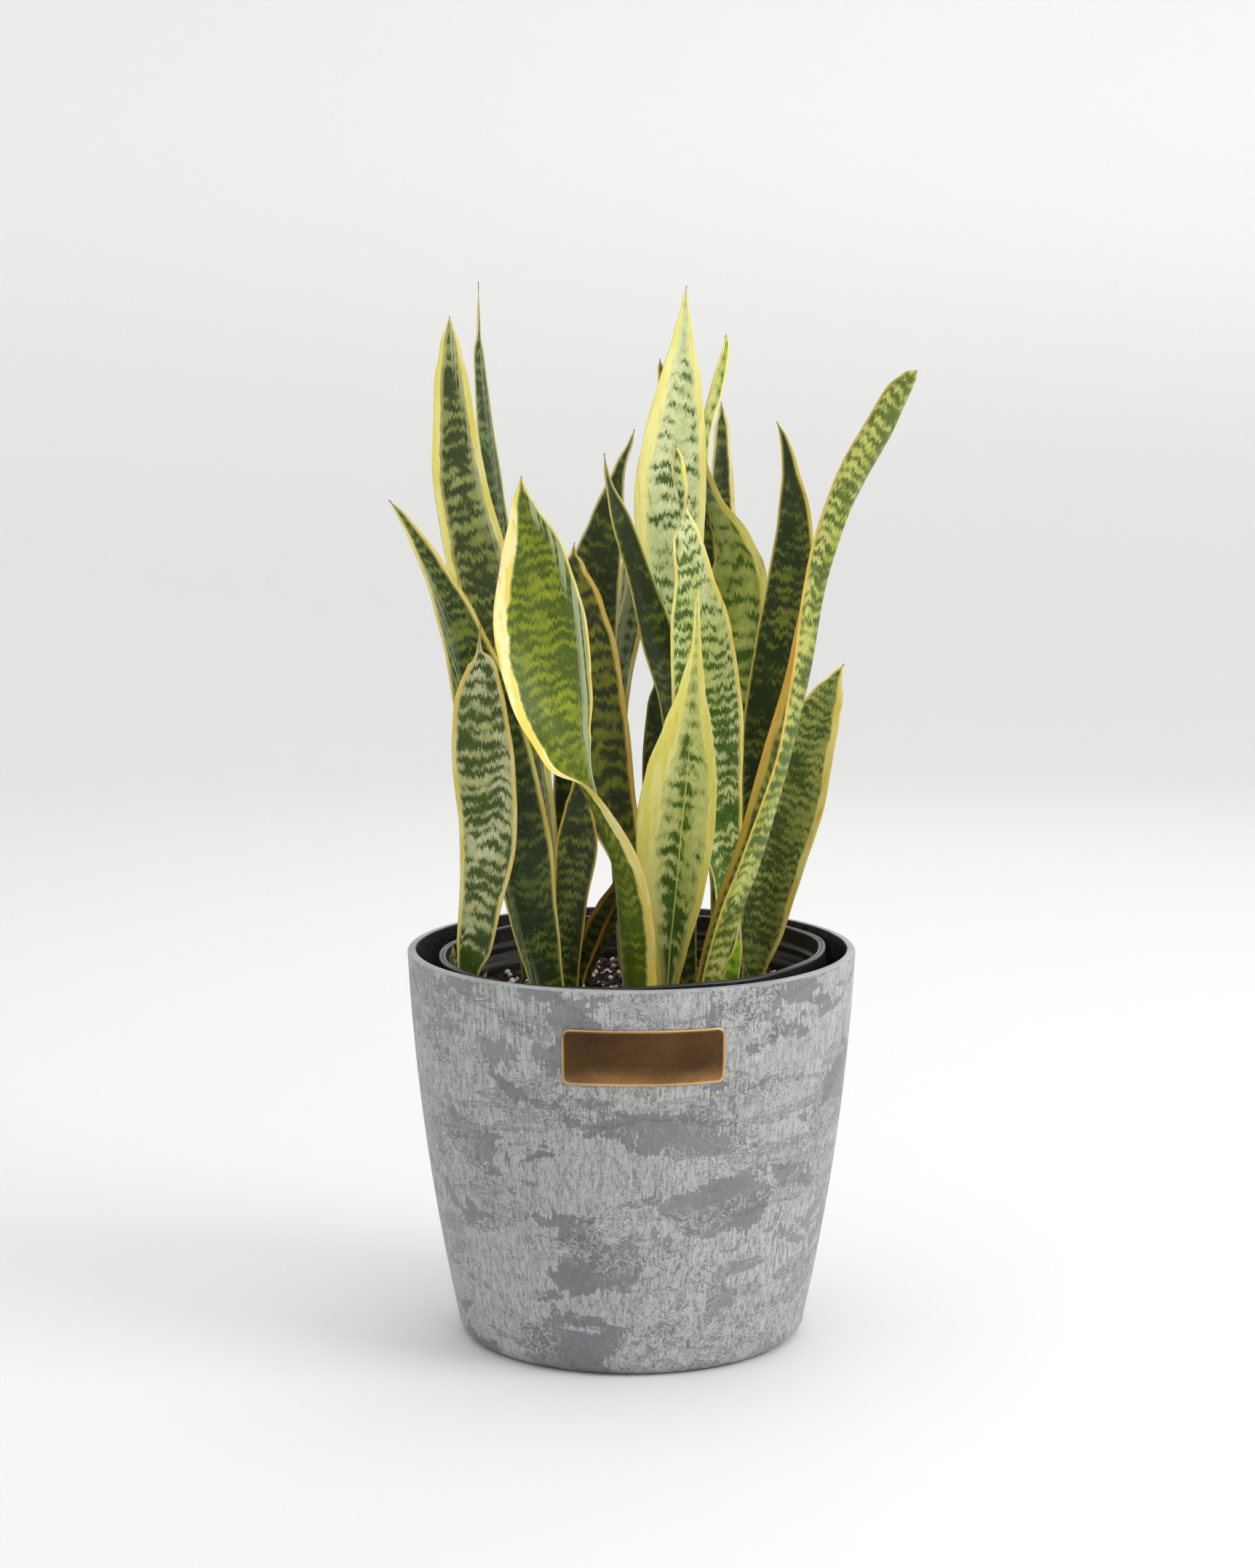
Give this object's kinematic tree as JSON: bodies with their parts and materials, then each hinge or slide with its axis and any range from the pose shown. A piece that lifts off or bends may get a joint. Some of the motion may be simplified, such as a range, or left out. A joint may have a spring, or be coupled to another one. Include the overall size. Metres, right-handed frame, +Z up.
{
  "type": "potted snake plant",
  "caption": "Tall yellow-edged snake plant in a black grower pot, standing in a round tapering grey stone-look pot with a plain bronze plate.",
  "frame": {"origin": "centre of the outer pot's flat base", "axes": "+Z up, from the pot's base to the leaf tips; -Y towards the side with the plate; +X to the right seen from that side"},
  "size_m": [0.3301, 0.2949, 0.6923],
  "materials": {
    "composite_stone": "grey cast composite with light scratch-like veins, satin",
    "bronze_plate": "dark brushed bronze, satin",
    "black_plastic": "moulded black polypropylene, semi-matt",
    "potting_mix": "dark peat mix with perlite and bark, rough",
    "rhizome": "tan woody skin, matt",
    "leaf_dark": "dark green blade with paler cross bands and a yellow edge, waxy",
    "leaf_light": "pale green blade with green cross bands and a broad yellow edge, waxy"
  },
  "bodies": {
    "root": {"leaf_back_centre_dark": "leaf_dark", "leaf_back_centre_tall": "leaf_light", "leaf_back_mid_a": "leaf_dark", "leaf_back_mid_b": "leaf_dark", "leaf_back_mid_dark": "leaf_dark", "leaf_back_right_small": "leaf_dark", "leaf_back_right_twist": "leaf_light", "leaf_centre_blotched": "leaf_light", "leaf_centre_low_fold": "leaf_dark", "leaf_front_centre": "leaf_light", "leaf_front_left": "leaf_light", "leaf_front_twist": "leaf_dark", "leaf_left_lean": "leaf_dark", "leaf_left_needle": "leaf_dark", "leaf_left_tall": "leaf_light", "leaf_mid_dark": "leaf_dark", "leaf_mid_left": "leaf_dark", "leaf_mid_left_low": "leaf_dark", "leaf_mid_low_dark": "leaf_dark", "leaf_right_dark": "leaf_dark", "leaf_right_long": "leaf_dark", "leaf_right_low": "leaf_dark", "name_plate": "bronze_plate", "nursery_pot": "black_plastic", "outer_pot": "composite_stone", "pup_right": "leaf_light", "rhizome_back": "rhizome", "rhizome_front": "rhizome", "rhizome_left": "rhizome", "rhizome_left_mid": "rhizome", "rhizome_mid": "rhizome", "rhizome_right": "rhizome", "soil": "potting_mix", "sprout_front": "leaf_light", "sprout_left": "leaf_light"}
  },
  "joints": []
}
